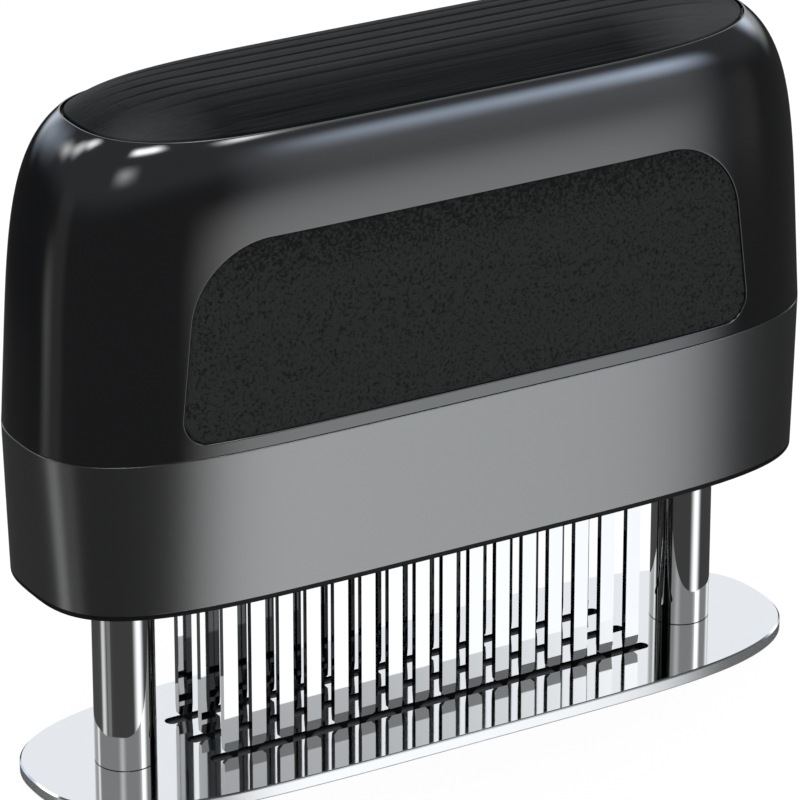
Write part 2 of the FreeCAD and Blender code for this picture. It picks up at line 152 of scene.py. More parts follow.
# Points nearer than this become one, and edges that turn by more degrees than these stay sharp
MERGE_DISTANCE = 0.001
SHARP_ANGLE = 50.0
INSERT_SHARP_ANGLE = 80.0

# The insert's crown is found by halving, from a little under the rim up to the crown's top
CROWN_SEARCH_DEPTH = 1.0
HEIGHT_HALVINGS = 40
SMALLEST_HALF_SIZE = 1e-6

# Marks painted into the materials: the insides of the blade slots coloured dark as painted shade, a dark
# line under the plate's front rim as a painted reflection, the plate's edge coloured paler as a painted
# highlight, lighter corners of the insert as a painted sheen, and specks that crowd along the panels'
# top as painted shade
SLOT_MARGIN = 0.3
SLOT_SHADE_START = 0.04
RIM_REFLECTION_TOP = 0.02
RIM_REFLECTION_BOTTOM = 0.13
RIM_REFLECTION_FADE = (50.0, 64.0)
SHEEN_SHIFT = 6.0
SHEEN_ENDS = (39.0, 54.0)
SHEEN_SIDES = (4.0, 11.0)
SHEEN_AMOUNT = 0.65
TOP_SHADE_DEPTH = 9.0
TOP_SHADE = 0.1
SPECK_COVER = (0.38, 0.5)

# Most of a noise texture's values lie in the first range. The others are shares of a material's own
# roughness, between which it varies, and the last is how far a moulding's colour varies.
NOISE_RANGE = (0.3, 0.7)
POLISH_RANGE = (0.8, 1.3)
MOULDING_RANGE = (0.9, 1.1)
MOULDING_UNEVENNESS = 0.15

# The sky, in degrees and in strengths. Azimuth 0 is straight in front and 90 is to the right.
ALL_ROUND = (400.0, 1.0)
ALL_HEIGHTS = (-91.0, 91.0)
HARD_ENDS = (1.0, 1.0)
HORIZON = (-2.0, 6.0)
HAZE_START = (14.0, 21.0)
HAZE_LOW_END = (38.0, 30.0)
HAZE_RIGHT_START = (30.0, 35.0)
HAZE_RIGHT_END = (60.0, 45.0)
HAZE_LEVEL = 0.15
HAZE_LOW_LEVEL = 0.17
HAZE_RIGHT_LEVEL = 1.2
PLAIN_LEVEL = 1.0

# Ray Depth, as the world reads it, is above these in a second and in a third reflection
SECOND_REFLECTION = 2.5
THIRD_REFLECTION = 3.5

# The floor, with its half size in metres
FLOOR_HALF_SIZE = 6.0
FLOOR_GLOW = 1.06
FLOOR_GLOW_SHARE = 0.85

# The camera stands where the photograph was taken from
CAMERA_TARGET = (-2.078, 0.0, 57.99)
CAMERA_AZIMUTH = -30.607
CAMERA_ELEVATION = 23.324
CAMERA_DISTANCE = 937.5
SENSOR_WIDTH = 36.0
LENS = 241.29
CLIP_START = 0.05
CLIP_END = 50.0


# Outlines


def band_curve(height):
    """Half length, half width and powers of the band's outline at a height."""
    share = (height - SEAM_HEIGHT + BAND_HEIGHT) / BAND_HEIGHT
    half_length = HALF_LENGTH - BAND_END_TAPER * (1 - share)
    half_width = HALF_WIDTH - BAND_SIDE_TAPER * (1 - share)
    side_power = BAND_BOTTOM_SIDE_POWER + share * (BAND_TOP_SIDE_POWER - BAND_BOTTOM_SIDE_POWER)
    return half_length, half_width, BAND_END_POWER, side_power


def rounding(height, depth, power, root):
    """Share of the shell's half size that is left at a height, over a depth under the crown."""
    rise = np.clip((height - CROWN_HEIGHT + depth) / depth, 0.0, 1.0)
    return (1 - rise ** power) ** (1 / root)


def shell_curve(height):
    """Half length, half width and powers of the shell's outline at a height."""
    above = height - SEAM_HEIGHT
    half_length = HALF_LENGTH - SHELL_STEP - SHELL_LENGTH_DRAFT * above
    half_width = HALF_WIDTH - SHELL_STEP - SHELL_WIDTH_DRAFT * above
    half_length = half_length * rounding(height, END_ROUND_DEPTH, END_ROUND_POWER, END_ROUND_ROOT)
    half_width = half_width * rounding(height, SIDE_ROUND_DEPTH, SIDE_ROUND_POWER, SIDE_ROUND_ROOT)
    return half_length, half_width, SHELL_END_POWER, BAND_TOP_SIDE_POWER


def rim_heights(angles):
    """The rim round the insert's seat lies a little higher at its ends than along its sides."""
    share = np.abs(np.cos(angles)) ** (2 / SHELL_END_POWER)
    return RIM_MIDDLE_HEIGHT + RIM_END_RISE * share ** RIM_RISE_POWER


def on_outline(curve, angles, heights, inset=0.0):
    """Points of a superellipse skin, at one height or one for each angle, moved inwards by inset
    along the outline's normal."""
    heights = np.broadcast_to(heights, angles.shape)
    half_length, half_width, end_power, side_power = curve(heights)
    along = np.cos(angles)
    across = np.sin(angles)
    share_x = np.abs(along) ** (2 / end_power)
    share_y = np.abs(across) ** (2 / side_power)
    normal_x = end_power * share_x ** (end_power - 1) / half_length
    normal_y = side_power * share_y ** (side_power - 1) / half_width
    steepness = np.hypot(normal_x, normal_y)
    x = np.sign(along) * (half_length * share_x - inset * normal_x / steepness)
    y = np.sign(across) * (half_width * share_y - inset * normal_y / steepness)
    return np.stack([x, y, heights], axis=-1)


def on_face(outline, depth):
    """Points on the shell's front face, or a depth under it, over an outline in X and Z."""
    x, heights = outline.T
    half_length, half_width, end_power, side_power = shell_curve(heights)
    share = np.clip(np.abs(x) / (half_length - depth), 0.0, 1.0) ** end_power
    y = -(half_width - depth) * (1 - share) ** (1 / side_power)
    return np.stack([x, y, heights], axis=-1)


def run_along(points):
    """Length run along a path of points in a plane, from its start to each of them."""
    steps = np.hypot(*np.diff(points, axis=0).T)
    return np.concatenate([[0.0], np.cumsum(steps)])


def quadrant_table():
    """Angles and the length run along one quarter of the shell's outline, both finely spaced."""
    share = np.linspace(0.0, 1.0, QUADRANT_STEPS + 1)
    by_length = np.arccos(share ** (SHELL_END_POWER / 2))
    by_width = np.arcsin(share ** (BAND_TOP_SIDE_POWER / 2))
    angles = np.unique(np.concatenate([by_length, by_width]))
    return angles, run_along(on_outline(shell_curve, angles, SEAM_HEIGHT)[:, :2])


QUADRANT_ANGLES, QUADRANT_RUN = quadrant_table()
QUARTER = QUADRANT_RUN[-1]


def run_to_angle(run):
    """Angle at a run along the front, which goes from the left end, 0, round to the right end."""
    from_left = np.pi + np.interp(run, QUADRANT_RUN, QUADRANT_ANGLES)
    from_right = 2 * np.pi - np.interp(2 * QUARTER - run, QUADRANT_RUN, QUADRANT_ANGLES)
    return np.where(run < QUARTER, from_left, from_right)


def length_to_run(x, heights):
    """Run along the front of a point given by its x."""
    half_length = shell_curve(heights)[0]
    angle = np.arccos(np.clip(np.abs(x) / half_length, 0.0, 1.0) ** (SHELL_END_POWER / 2))
    run = np.interp(angle, QUADRANT_ANGLES, QUADRANT_RUN)
    return np.where(x < 0, run, 2 * QUARTER - run)


def all_angles(front_steps):
    """Angles all round an outline, evenly spaced along it, from the left end by way of the front."""
    front = run_to_angle(np.linspace(0.0, 2 * QUARTER, front_steps + 1))
    rear = 2 * np.pi - front[1:-1][::-1]
    return np.concatenate([front, rear])


def quarter_round(edge):
    """Steps round a small rounded edge: how far each has gone one way and has left the other way."""
    turns = [math.pi / 2 * step / EDGE_STEPS for step in range(EDGE_STEPS + 1)]
    return [(edge * (1 - math.cos(turn)), edge * (1 - math.sin(turn))) for turn in turns]


# Meshes


class Skin:
    """Collects rings of points and the faces between them."""

    def __init__(self):
        self.points = []
        self.faces = []
        self.count = 0

    def add(self, points):
        """Add points and return the number of the first of them."""
        first = self.count
        self.points.append(np.asarray(points, float).reshape(-1, 3))
        self.count += len(self.points[-1])
        return first

    def rings(self, rings):
        """Quads all round between each ring and the next."""
        size = len(rings[0])
        first = self.add(np.concatenate(rings))
        for row in range(len(rings) - 1):
            low = first + row * size
            high = low + size
            for column in range(size):
                ahead = (column + 1) % size
                self.faces.append((low + column, low + ahead, high + ahead, high + column))
        return first

    def cap(self, ring):
        """Flat cover over a ring that starts at one end and is the same on both sides of Y."""
        size = len(ring)
        first = self.add(ring)
        for step in range(size // 2):
            front = first + step
            rear = first + (size - step) % size
            corners = [front, front + 1, first + size - step - 1, rear]
            self.faces.append(tuple(dict.fromkeys(corners)))

    def mirrored(self):
        """The same faces again on the other side of the XZ plane."""
        points = np.concatenate(self.points) * (1.0, -1.0, 1.0)
        faces = list(self.faces)
        first = self.add(points)
        for face in faces:
            self.faces.append(tuple(first + corner for corner in face[::-1]))

    def build(self, name, sharp_angle=SHARP_ANGLE):
        """Make the mesh, in metres, and put its object into the scene."""
        mesh = bpy.data.meshes.new(name)
        points = np.concatenate(self.points) * MM
        mesh.from_pydata(points.tolist(), [], self.faces)
        work = bmesh.new()
        work.from_mesh(mesh)
        bmesh.ops.remove_doubles(work, verts=work.verts, dist=MERGE_DISTANCE * MM)
        bmesh.ops.recalc_face_normals(work, faces=work.faces)
        work.to_mesh(mesh)
        work.free()
        mesh.shade_smooth()
        mesh.set_sharp_from_angle(angle=math.radians(sharp_angle))
        piece = bpy.data.objects.new(name, mesh)
        bpy.context.scene.collection.objects.link(piece)
        return piece


def dress(piece, material, body, slot, *nodes):
    """Give a new piece its material, its body and the solids that it stands for; its slot is not used.
    """
    piece.data.materials.append(material)
    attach(piece, body)
    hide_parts(*nodes)
    return piece


# Panel outline: a rounded trapezium in the XZ plane, cut into four sides that meet half way round
# its corners


def panel_corners():
    """Centre, radius and the normals of the upright and the level side that meet at each corner, in
    the order of the outline."""
    lean = math.atan2(PANEL_BOTTOM_HALF_LENGTH - PANEL_TOP_HALF_LENGTH, PANEL_TOP - PANEL_BOTTOM)
    bottom = (PANEL_BOTTOM_HALF_LENGTH, PANEL_BOTTOM, PANEL_BOTTOM_CORNER)
    top = (PANEL_TOP_HALF_LENGTH, PANEL_TOP, PANEL_TOP_CORNER)
    corners = []
    for side_x, side_z in ((-1, -1), (1, -1), (1, 1), (-1, 1)):
        half_length, height, radius = bottom if side_z < 0 else top
        upright_normal = np.array([side_x * math.cos(lean), math.sin(lean)])
        level_normal = np.array([0.0, side_z])
        # the centre is one radius inside both sides
        centre_z = height - side_z * radius
        inside = radius / math.cos(lean) + (centre_z - height) * math.tan(lean)
        centre = np.array([side_x * (half_length - inside), centre_z])
        corners.append((centre, radius, upright_normal, level_normal))
    return corners


def arc_between(centre, radius, start, end):
    """Points of an arc from one unit direction to another."""
    start_angle = math.atan2(start[1], start[0])
    turn = math.atan2(start[0] * end[1] - start[1] * end[0], float(np.dot(start, end)))
    angles = start_angle + turn * np.linspace(0.0, 1.0, CORNER_POINTS)
    return centre + radius * np.stack([np.cos(angles), np.sin(angles)], axis=-1)


def panel_side(first, second, level, count, growth):
    """One side of the outline: half a corner, a straight, half a corner, evenly cut."""
    arcs = []
    for centre, radius, upright_normal, level_normal in (first, second):
        middle = upright_normal + level_normal
        middle /= np.linalg.norm(middle)
        edge = level_normal if level else upright_normal
        start, end = (edge, middle) if arcs else (middle, edge)
        arcs.append(arc_between(centre, radius + growth, start, end))
    path = np.concatenate(arcs)
    run = run_along(path)
    wanted = np.linspace(0.0, run[-1], count + 1)[:-1]
    return np.stack([np.interp(wanted, run, path[:, 0]), np.interp(wanted, run, path[:, 1])], axis=-1)


def panel_ring(growth=0.0):
    """The outline in X and Z, grown by a distance, counter-clockwise from its lower left corner."""
    corners = panel_corners()
    sides = []
    for index, first in enumerate(corners):
        second = corners[(index + 1) % len(corners)]
        level = index % 2 == 0
        sides.append(panel_side(first, second, level, FRONT_STEPS if level else SIDE_STEPS, growth))
    return np.concatenate(sides)


def core_ring(ring, share):
    """The outline drawn in towards a level line through its middle."""
    middle = (PANEL_BOTTOM + PANEL_TOP) / 2
    shrunk = ring.copy()
    shrunk[:, 0] = ring[:, 0] * (1 - CORE_END_SHARE * share)
    shrunk[:, 1] = middle + (ring[:, 1] - middle) * (1 - share)
    return shrunk


def side_heights(low, high):
    """Heights up the shell's end, which lie closer together towards its top."""
    share = np.sin(math.pi / 2 * np.linspace(0.0, 1.0, SIDE_STEPS + 1))
    return low + (high - low) * share


def patch_boundary():
    """Run and height round the front half of the shell, in step with the panel's outline."""
    runs = np.linspace(0.0, 2 * QUARTER, FRONT_STEPS + 1)
    low = SHELL_BOTTOM + SHELL_EDGE
    highs = rim_heights(run_to_angle(runs)) - RIM_EDGE
    heights = side_heights(low, highs[0])
    bottom = np.stack([runs[:-1], np.full(FRONT_STEPS, low)], axis=-1)
    right = np.stack([np.full(SIDE_STEPS, 2 * QUARTER), heights[:-1]], axis=-1)
    top = np.stack([runs[::-1][:-1], highs[::-1][:-1]], axis=-1)
    left = np.stack([np.zeros(SIDE_STEPS), heights[::-1][:-1]], axis=-1)
    return np.concatenate([bottom, right, top, left])


# Pieces


def pocket_rings():
    """Floor, wall and rounded edge of a panel pocket, from the middle outwards."""
    outline = panel_ring()
    rings = [on_face(core_ring(outline, share), PANEL_DEPTH) for share in POCKET_FLOOR_SHARES]
    for depth in (PANEL_DEPTH, PANEL_DEPTH / 2, POCKET_EDGE * 2):
        rings.append(on_face(outline, depth))
    for gone, left in quarter_round(POCKET_EDGE):
        rings.append(on_face(panel_ring(gone), left))
    return rings


def shell_face_rings():
    """The shell's outer face, from the pocket's edge to the edges of the shell's front half."""
    margins = [panel_ring(growth) for growth in POCKET_MARGINS]
    rings = [on_face(margin, 0.0) for margin in margins]
    x, heights = margins[-1].T
    begin = np.stack([length_to_run(x, heights), heights], axis=-1)
    end = patch_boundary()
    for step in range(1, PATCH_RINGS + 1):
        share = step / PATCH_RINGS
        share *= 1 + PATCH_EASING * (1 - share)
        place = begin + (end - begin) * share
        rings.append(on_outline(shell_curve, run_to_angle(place[:, 0]), place[:, 1]))
    return rings


def shell_lining_rings(angles):
    """The shell's rounded lower edge and its inner wall, up to the underside of its deck."""
    rings = []
    for gone, left in quarter_round(SHELL_EDGE):
        rings.append(on_outline(shell_curve, angles, SHELL_BOTTOM + left, gone))
    for height in np.linspace(SHELL_BOTTOM, DECK_BOTTOM, WALL_RINGS):
        rings.append(on_outline(shell_curve, angles, height, SHELL_WALL))
    return rings


def shell_rim_rings(angles):
    """The rim round the insert, rounded on both sides, and the wall of the insert's seat."""
    rim = rim_heights(angles)
    rings = []
    for gone, left in quarter_round(RIM_EDGE):
        rings.append(on_outline(shell_curve, angles, rim - left, gone))
    for gone, left in quarter_round(RIM_EDGE):
        rings.append(on_outline(shell_curve, angles, rim, RIM_WIDTH - left) - (0.0, 0.0, gone))
    for depth in (INSERT_DEPTH / 2, INSERT_DEPTH):
        rings.append(on_outline(shell_curve, angles, rim, RIM_WIDTH) - (0.0, 0.0, depth))
    return rings


def upper_shell(material):
    """Grip shell with a pocket in front, the same at the back, and the insert's seat on top."""
    skin = Skin()
    skin.rings(pocket_rings() + shell_face_rings())
    skin.mirrored()
    angles = all_angles(FRONT_STEPS)
    for rings in (shell_lining_rings(angles), shell_rim_rings(angles)):
        skin.rings(rings)
        skin.cap(rings[-1])
    piece = skin.build("gloss_shell")
    return dress(piece, material, "press_handle", "gloss_shell", "upper_shell")


def grain(points):
    """Small uneven lift of the panel's face."""
    lift = np.empty(len(points))
    for index, point in enumerate(points):
        place = Vector(point) / GRAIN_SIZE
        lift[index] = noise.noise(place) + GRAIN_FINE_SHARE * noise.noise(place * GRAIN_FINE_SCALE)
    return lift * GRAIN_HEIGHT


def grip_panel(name, side, material, node):
    """Textured panel in its pocket: side is -1 in front and 1 at the back."""
    rings = []
    inner = panel_ring(-PANEL_GAP - PANEL_EDGE)
    for step in range(PANEL_RINGS + 1):
        share = 1 - step / PANEL_RINGS
        points = on_face(core_ring(inner, share), PANEL_RECESS)
        points[:, 1] -= grain(points) * min(1.0, GRAIN_EDGE_FADE * share)
        rings.append(points)
    for gone, left in quarter_round(PANEL_EDGE)[1:]:
        rings.append(on_face(panel_ring(-PANEL_GAP - left), PANEL_RECESS + gone))
    outline = panel_ring(-PANEL_GAP)
    for share in PANEL_BACK_SHARES:
        rings.append(on_face(core_ring(outline, share), PANEL_DEPTH - PANEL_BACK_GAP))
    if side > 0:
        rings = [ring * (1.0, -1.0, 1.0) for ring in rings]
    skin = Skin()
    skin.rings(rings)
    piece = skin.build(name)
    return dress(piece, material, "press_handle", "grain_panel", node)


def crown_height(x, y):
    """Height of the insert's smooth crown over a point, found by halving."""
    low = np.full(x.shape, RIM_MIDDLE_HEIGHT - CROWN_SEARCH_DEPTH)
    high = np.full(x.shape, CROWN_HEIGHT)
    for _ in range(HEIGHT_HALVINGS):
        middle = (low + high) / 2
        half_length, half_width, end_power, side_power = shell_curve(middle)
        half_length = np.maximum(half_length - INSERT_INSET, SMALLEST_HALF_SIZE)
        half_width = np.maximum(half_width - INSERT_INSET, SMALLEST_HALF_SIZE)
        inside = (np.abs(x) / half_length) ** end_power + (np.abs(y) / half_width) ** side_power < 1
        low = np.where(inside, middle, low)
        high = np.where(inside, high, middle)
    return np.minimum(low, INSERT_TOP)


def smooth(value, low, high):
    """0 up to low and 1 from high on, with a soft step between."""
    share = np.clip((value - low) / (high - low), 0.0, 1.0)
    return share * share * (3 - 2 * share)


def flute_drop(x, y):
    """How far the grooves lie under the crown: narrow valleys along X between broad low ridges."""
    half_length, half_width, end_power, side_power = shell_curve(RIM_MIDDLE_HEIGHT)
    share = np.clip(np.abs(y) / half_width, 0.0, 1.0) ** side_power
    end_distance = half_length * (1 - share) ** (1 / end_power) - np.abs(x)
    fade = smooth(end_distance, FLUTE_FADE_START, FLUTE_FADE_END)
    phase = y / FLUTE_PITCH + 0.5
    aside = np.abs(phase - np.round(phase)) * FLUTE_PITCH
    valley = np.exp(-(aside / FLUTE_HALF_WIDTH) ** 2)
    return (FLUTE_HEIGHT * valley + RIDGE_HEIGHT * (1 - np.sin(np.pi * aside / FLUTE_PITCH))) * fade


def top_grip_insert(material):
    """Soft cap with grooves along it, from its middle line out to its edge and down into the seat."""
    angles = all_angles(INSERT_FRONT_STEPS)
    rim = rim_heights(angles)
    inner = on_outline(shell_curve, angles, rim, INSERT_INSET + INSERT_EDGE)
    rings = []
    for step in range(INSERT_RINGS + 1):
        share = step / INSERT_RINGS
        x = inner[:, 0] * (INSERT_CORE_SHARE + (1 - INSERT_CORE_SHARE) * share)
        y = inner[:, 1] * share
        z = crown_height(x, y) - flute_drop(x, y)
        rings.append(np.stack([x, y, z], axis=-1))
    lowered = rings[-1][:, 2] - rim
    for gone, left in quarter_round(INSERT_EDGE)[1:]:
        ring = on_outline(shell_curve, angles, rim, INSERT_INSET + left)
        ring[:, 2] += lowered - gone
        rings.append(ring)
    for depth in (INSERT_SIDE_DEPTH, INSERT_DEPTH):
        ring = rings[-1].copy()
        ring[:, 2] = rim - depth
        rings.append(ring)
    skin = Skin()
    skin.rings(rings)
    skin.cap(rings[-1])
    piece = skin.build("fluted_grip", INSERT_SHARP_ANGLE)
    return dress(piece, material, "press_handle", "soft_grip", "top_grip_insert")


def lower_band(material):
    """Tapered metal band with small rounded edges, open above and below."""
    angles = all_angles(FRONT_STEPS)
    rings = []
    for gone, left in quarter_round(BAND_BOTTOM_EDGE):
        rings.append(on_outline(band_curve, angles, BAND_BOTTOM + gone, left))
    face_bottom = BAND_BOTTOM + BAND_BOTTOM_EDGE + SHARP_STEP
    face_top = SEAM_HEIGHT - BAND_EDGE - SHARP_STEP
    face = np.linspace(BAND_BOTTOM + BAND_FACE_MARGIN, SEAM_HEIGHT - BAND_FACE_MARGIN, WALL_RINGS)
    for height in (face_bottom, *face, face_top):
        rings.append(on_outline(band_curve, angles, height))
    for gone, left in quarter_round(BAND_EDGE):
        rings.append(on_outline(band_curve, angles, SEAM_HEIGHT - left, gone))
    for height in (SEAM_HEIGHT, BAND_BOTTOM):
        rings.append(on_outline(band_curve, angles, height, BAND_WALL))
    rings.append(rings[0])
    skin = Skin()
    skin.rings(rings)
    piece = skin.build("metal_band")
    return dress(piece, material, "press_handle", "gunmetal_band", "lower_band")


def return_spring(name, x, material, node):
    """Round wire wound up through the post. This mesh keeps one length; the real spring closes up as the
    handle goes down.
    """
    low = POST_FLOOR + SPRING_END_GAP + SPRING_WIRE_RADIUS
    high = GUIDE_SEAT - SPRING_END_GAP - SPRING_WIRE_RADIUS
    steps = SPRING_COILS * COIL_STEPS
    wire_angles = np.linspace(0.0, 2 * np.pi, WIRE_STEPS, endpoint=False)
    rings = []
    for step in range(steps + 1):
        turn = 2 * np.pi * SPRING_COILS * step / steps
        out = np.array([math.cos(turn), math.sin(turn), 0.0])
        centre = SPRING_MEAN_RADIUS * out + (x, 0.0, low + (high - low) * step / steps)
        ring = centre + SPRING_WIRE_RADIUS * np.outer(np.cos(wire_angles), out)
        ring[:, 2] += SPRING_WIRE_RADIUS * np.sin(wire_angles)
        rings.append(ring)
    skin = Skin()
    first = skin.rings(rings)
    for end in (first, first + steps * WIRE_STEPS):
        skin.faces.append(tuple(range(end, end + WIRE_STEPS)))
    piece = skin.build(name)
    dress(piece, material, "stand", "spring_steel", node)
    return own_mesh(piece)


# Materials


class NodeTree:
    """Short calls for building a node tree. A value is a constant or another node's output."""

    def __init__(self, tree):
        self.nodes = tree.nodes
        self.links = tree.links

    def feed(self, socket, value):
        """Set a socket to a constant, or link it to another node's output."""
        if isinstance(value, bpy.types.NodeSocket):
            self.links.new(value, socket)
        else:
            socket.default_value = value

    def math(self, operation, *values):
        """Result of a Math node."""
        node = self.nodes.new("ShaderNodeMath")
        node.operation = operation
        for socket, value in zip(node.inputs, values):
            self.feed(socket, value)
        return node.outputs["Value"]

    def spread(self, value, low, high, to_low, to_high, interpolation="LINEAR"):
        """Map a value from one range to another, held at both ends."""
        node = self.nodes.new("ShaderNodeMapRange")
        node.interpolation_type = interpolation
        node.inputs["From Min"].default_value = low
        node.inputs["From Max"].default_value = high
        node.inputs["To Min"].default_value = to_low
        node.inputs["To Max"].default_value = to_high
        self.feed(node.inputs["Value"], value)
        return node.outputs["Result"]

    def mix_colors(self, share, low, high):
        """Blend of two colours."""
        node = self.nodes.new("ShaderNodeMix")
        node.data_type = "RGBA"
        self.feed(node.inputs["Factor"], share)
        for socket, color in ((node.inputs["A"], low), (node.inputs["B"], high)):
            self.feed(socket, (*color, 1.0) if isinstance(color, (tuple, list)) else color)
        return node.outputs["Result"]


class Shader(NodeTree):
    """A material with a Principled shader, and short calls for the nodes that feed it."""

    def __init__(self, name, color, roughness, metallic=0.0, specular=0.5):
        self.material = bpy.data.materials.new(name)
        self.material.use_nodes = True
        super().__init__(self.material.node_tree)
        self.principled = self.nodes["Principled BSDF"].inputs
        self.principled["Base Color"].default_value = (*color, 1.0)
        self.principled["Roughness"].default_value = roughness
        self.principled["Metallic"].default_value = metallic
        self.principled["Specular IOR Level"].default_value = specular
        self.bumped = None

    def place(self, scale):
        """Place on the piece, in millimetres, times a scale for each axis."""
        coordinates = self.nodes.new("ShaderNodeTexCoord")
        mapping = self.nodes.new("ShaderNodeMapping")
        mapping.inputs["Scale"].default_value = [axis / MM for axis in scale]
        self.feed(mapping.inputs["Vector"], coordinates.outputs["Object"])
        return mapping.outputs["Vector"]

    def axes(self):
        """X, Y and Z of the place on the piece, in millimetres."""
        parts = self.nodes.new("ShaderNodeSeparateXYZ")
        self.feed(parts.inputs["Vector"], self.place((1.0, 1.0, 1.0)))
        return parts.outputs

    def noise(self, scale, detail=2.0, roughness=0.5):
        """Noise, with a scale for all axes or one for each of them, in cycles per millimetre."""
        texture = self.nodes.new("ShaderNodeTexNoise")
        texture.inputs["Scale"].default_value = 1.0
        texture.inputs["Detail"].default_value = detail
        texture.inputs["Roughness"].default_value = roughness
        scales = scale if isinstance(scale, tuple) else (scale, scale, scale)
        self.feed(texture.inputs["Vector"], self.place(scales))
        return texture.outputs["Fac"]

    def away(self, value, middle=0.0):
        """Distance of a value from a middle."""
        return self.math("ABSOLUTE", self.math("SUBTRACT", value, middle))

    def between(self, value, low, high):
        """1 where a value lies between two others, and else 0."""
        above = self.math("GREATER_THAN", value, low)
        return self.math("MULTIPLY", above, self.math("LESS_THAN", value, high))

    def blend_colors(self, share, low, high):
        """Vary the base colour between two colours."""
        self.feed(self.principled["Base Color"], self.mix_colors(share, low, high))

    def vary_color(self, share, color, unevenness):
        """Vary the base colour from a little darker than a colour to a little lighter."""
        darker = [channel * (1 - unevenness) for channel in color]
        lighter = [channel * (1 + unevenness) for channel in color]
        self.blend_colors(share, darker, lighter)

    def vary_roughness(self, value, low, high):
        """Vary the roughness with a noise."""
        self.feed(self.principled["Roughness"], self.spread(value, *NOISE_RANGE, low, high))

    def bump(self, value, distance):
        """Raise the surface by a value, up to a distance in millimetres, on top of earlier bumps."""
        node = self.nodes.new("ShaderNodeBump")
        node.inputs["Distance"].default_value = distance * MM
        self.feed(node.inputs["Height"], value)
        if self.bumped is not None:
            self.feed(node.inputs["Normal"], self.bumped)
        self.bumped = node.outputs["Normal"]
        self.feed(self.principled["Normal"], self.bumped)


def gloss_shell_material():
    """High-gloss near-black moulding, faintly clouded."""
    shader = Shader("gloss_shell", (0.003, 0.0034, 0.004), 0.07, specular=1.0)
    shader.principled["IOR"].default_value = 1.6
    shader.blend_colors(shader.noise(0.03), (0.0026, 0.003, 0.0036), (0.0036, 0.004, 0.0047))
    shader.vary_roughness(shader.noise((0.05, 0.05, 0.09), 4.0), 0.06, 0.09)
    shader.bump(shader.noise(0.5, 1.0), 0.001)
    return shader.material


def gunmetal_material():
    """Satin metal with a fine grain that lies level round the band."""
    shader = Shader("gunmetal_band", (0.25, 0.255, 0.255), 0.26, metallic=1.0)
    satin = shader.noise((0.4, 0.4, 2.5), 3.0, 0.6)
    shader.blend_colors(satin, (0.246, 0.251, 0.251), (0.254, 0.259, 0.259))
    shader.vary_roughness(satin, 0.25, 0.27)
    shader.bump(shader.noise((5.0, 5.0, 8.0)), 0.0003)
    return shader.material


def soft_grip_material():
    """Near-black rubber with fine drawn lines along it, and a painted sheen that lightens the corners of
    its two ends.
    """
    shader = Shader("soft_grip", (0.009, 0.010, 0.011), 0.4, specular=0.02)
    x, y = shader.axes()[:2]
    streaks = shader.noise((0.02, 2.4, 2.4), 4.0, 0.65)
    # painted sheen: a lighter colour towards the corners of the two ends stands in for their sheen
    sheen_by_ends = shader.spread(shader.away(x, -SHEEN_SHIFT), *SHEEN_ENDS, 0.0, 1.0)
    sheen_by_sides = shader.spread(shader.away(y), *SHEEN_SIDES, 0.0, SHEEN_AMOUNT)
    painted_sheen = shader.math("MULTIPLY", sheen_by_ends, sheen_by_sides)
    share = shader.math("ADD", shader.spread(streaks, *NOISE_RANGE, 0.0, 0.2), painted_sheen)
    shader.blend_colors(share, (0.007, 0.0078, 0.0085), (0.062, 0.066, 0.07))
    shader.vary_roughness(streaks, 0.34, 0.5)
    shader.bump(streaks, 0.12)
    shader.bump(shader.noise(6.0), 0.005)
    return shader.material


def grain_panel_material():
    """Charcoal with small dark specks, which lie closer together along the panel's top as painted shade
    under the pocket's top edge.
    """
    shader = Shader("grain_panel", (0.013, 0.014, 0.014), 0.5, specular=0.2)
    height = shader.axes()[2]
    specks = shader.noise(1.6, 3.0, 0.75)
    # painted shade: the dark specks crowd towards the top, where the pocket's edge shades the panel; the
    # specks themselves are the panel's own grain
    painted_top_shade = shader.spread(height, PANEL_TOP - TOP_SHADE_DEPTH, PANEL_TOP, 0.0, TOP_SHADE)
    cover = shader.spread(shader.math("SUBTRACT", specks, painted_top_shade), *SPECK_COVER, 0.0, 1.0)
    shader.blend_colors(cover, (0.001, 0.001, 0.001), (0.0178, 0.0194, 0.0187))
    shader.vary_roughness(specks, 0.42, 0.6)
    shader.bump(specks, 0.16)
    return shader.material


def times(value, shares):
    """A value times each of some shares."""
    return [value * share for share in shares]


def steel_material(name, color, roughness, scale, unevenness=0.02):
    """Bright metal whose polish and colour are a little uneven."""
    shader = Shader(name, color, roughness, metallic=1.0)
    polish = shader.noise(scale, 3.0, 0.6)
    shader.vary_color(polish, color, unevenness)
    shader.vary_roughness(polish, *times(roughness, POLISH_RANGE))
    shader.bump(polish, 0.0003)
    return shader.material


